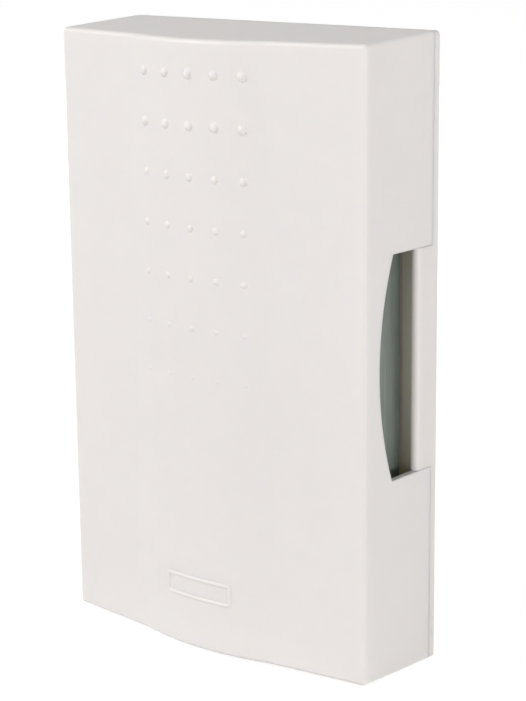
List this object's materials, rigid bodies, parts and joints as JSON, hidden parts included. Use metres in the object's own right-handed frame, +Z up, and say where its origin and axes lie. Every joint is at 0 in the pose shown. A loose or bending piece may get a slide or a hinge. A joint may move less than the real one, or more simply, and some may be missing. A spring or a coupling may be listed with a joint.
{
  "type": "doorbell chime box",
  "caption": "Wall-hung two-tone doorbell chime: drafted cover with a crowned, bumped front and side slots over steel tone bars and a sprung solenoid striker.",
  "frame": {"origin": "centre of the back plate's wall face", "axes": "+X to the right seen from the front, +Y into the wall, +Z up"},
  "size_m": [0.113, 0.0422, 0.184],
  "materials": {
    "cover_plastic": "satin warm white",
    "plate_plastic": "satin warm white",
    "bar_steel": "rolled",
    "grommet_rubber": "matt",
    "spring_steel": "bright",
    "plated_steel": "zinc plated",
    "bobbin_plastic": "natural nylon",
    "copper_wire": "enamelled",
    "coil_tape": "polyester tape",
    "brass": "plain",
    "core_steel": "ground",
    "striker_nylon": "natural nylon",
    "screw_steel": "zinc plated",
    "block_plastic": "satin",
    "clamp_plastic": "satin",
    "lead_sleeve": "soft sleeve"
  },
  "bodies": {
    "base": {"base_plate": "plate_plastic", "bar_retainers": "spring_steel", "solenoid_yoke": "plated_steel", "yoke_keeper": "plated_steel", "coil_bobbin": "bobbin_plastic", "coil_winding": "copper_wire", "coil_tape": "coil_tape", "coil_pins": "brass", "return_spring": "spring_steel", "solenoid_screws": "screw_steel", "terminal_block": "block_plastic", "terminal_inserts": "brass", "terminal_screws": "screw_steel", "block_screw": "screw_steel", "cable_clamp": "clamp_plastic", "cable_clamp_screws": "screw_steel", "coil_lead_left": "lead_sleeve", "coil_lead_right": "lead_sleeve"},
    "plunger": {"plunger_core": "core_steel", "striker_left": "striker_nylon", "striker_right": "striker_nylon", "spring_clip": "spring_steel"},
    "low_bar": {"tone_bar_low": "bar_steel", "grommets_low": "grommet_rubber"},
    "high_bar": {"tone_bar_high": "bar_steel", "grommets_high": "grommet_rubber"},
    "cover": {"front_cover": "cover_plastic"}
  },
  "joints": [
    {"name": "plunger_slide", "type": "slide", "parent": "base", "child": "plunger", "axis": [1, 0, 0], "range_m": [-0.00235, 0.00635], "stiffness_N_per_m": 140, "deforming": ["return_spring"]},
    {"name": "low_bar_float", "type": "slide", "parent": "base", "child": "low_bar", "axis": [1, 0, 0], "range_m": [0, 0.0006]},
    {"name": "high_bar_float", "type": "slide", "parent": "base", "child": "high_bar", "axis": [-1, 0, 0], "range_m": [0, 0.0006]},
    {"name": "cover_pull", "type": "slide", "parent": "base", "child": "cover", "axis": [0, -1, 0], "range_m": [0, 0.045]}
  ]
}
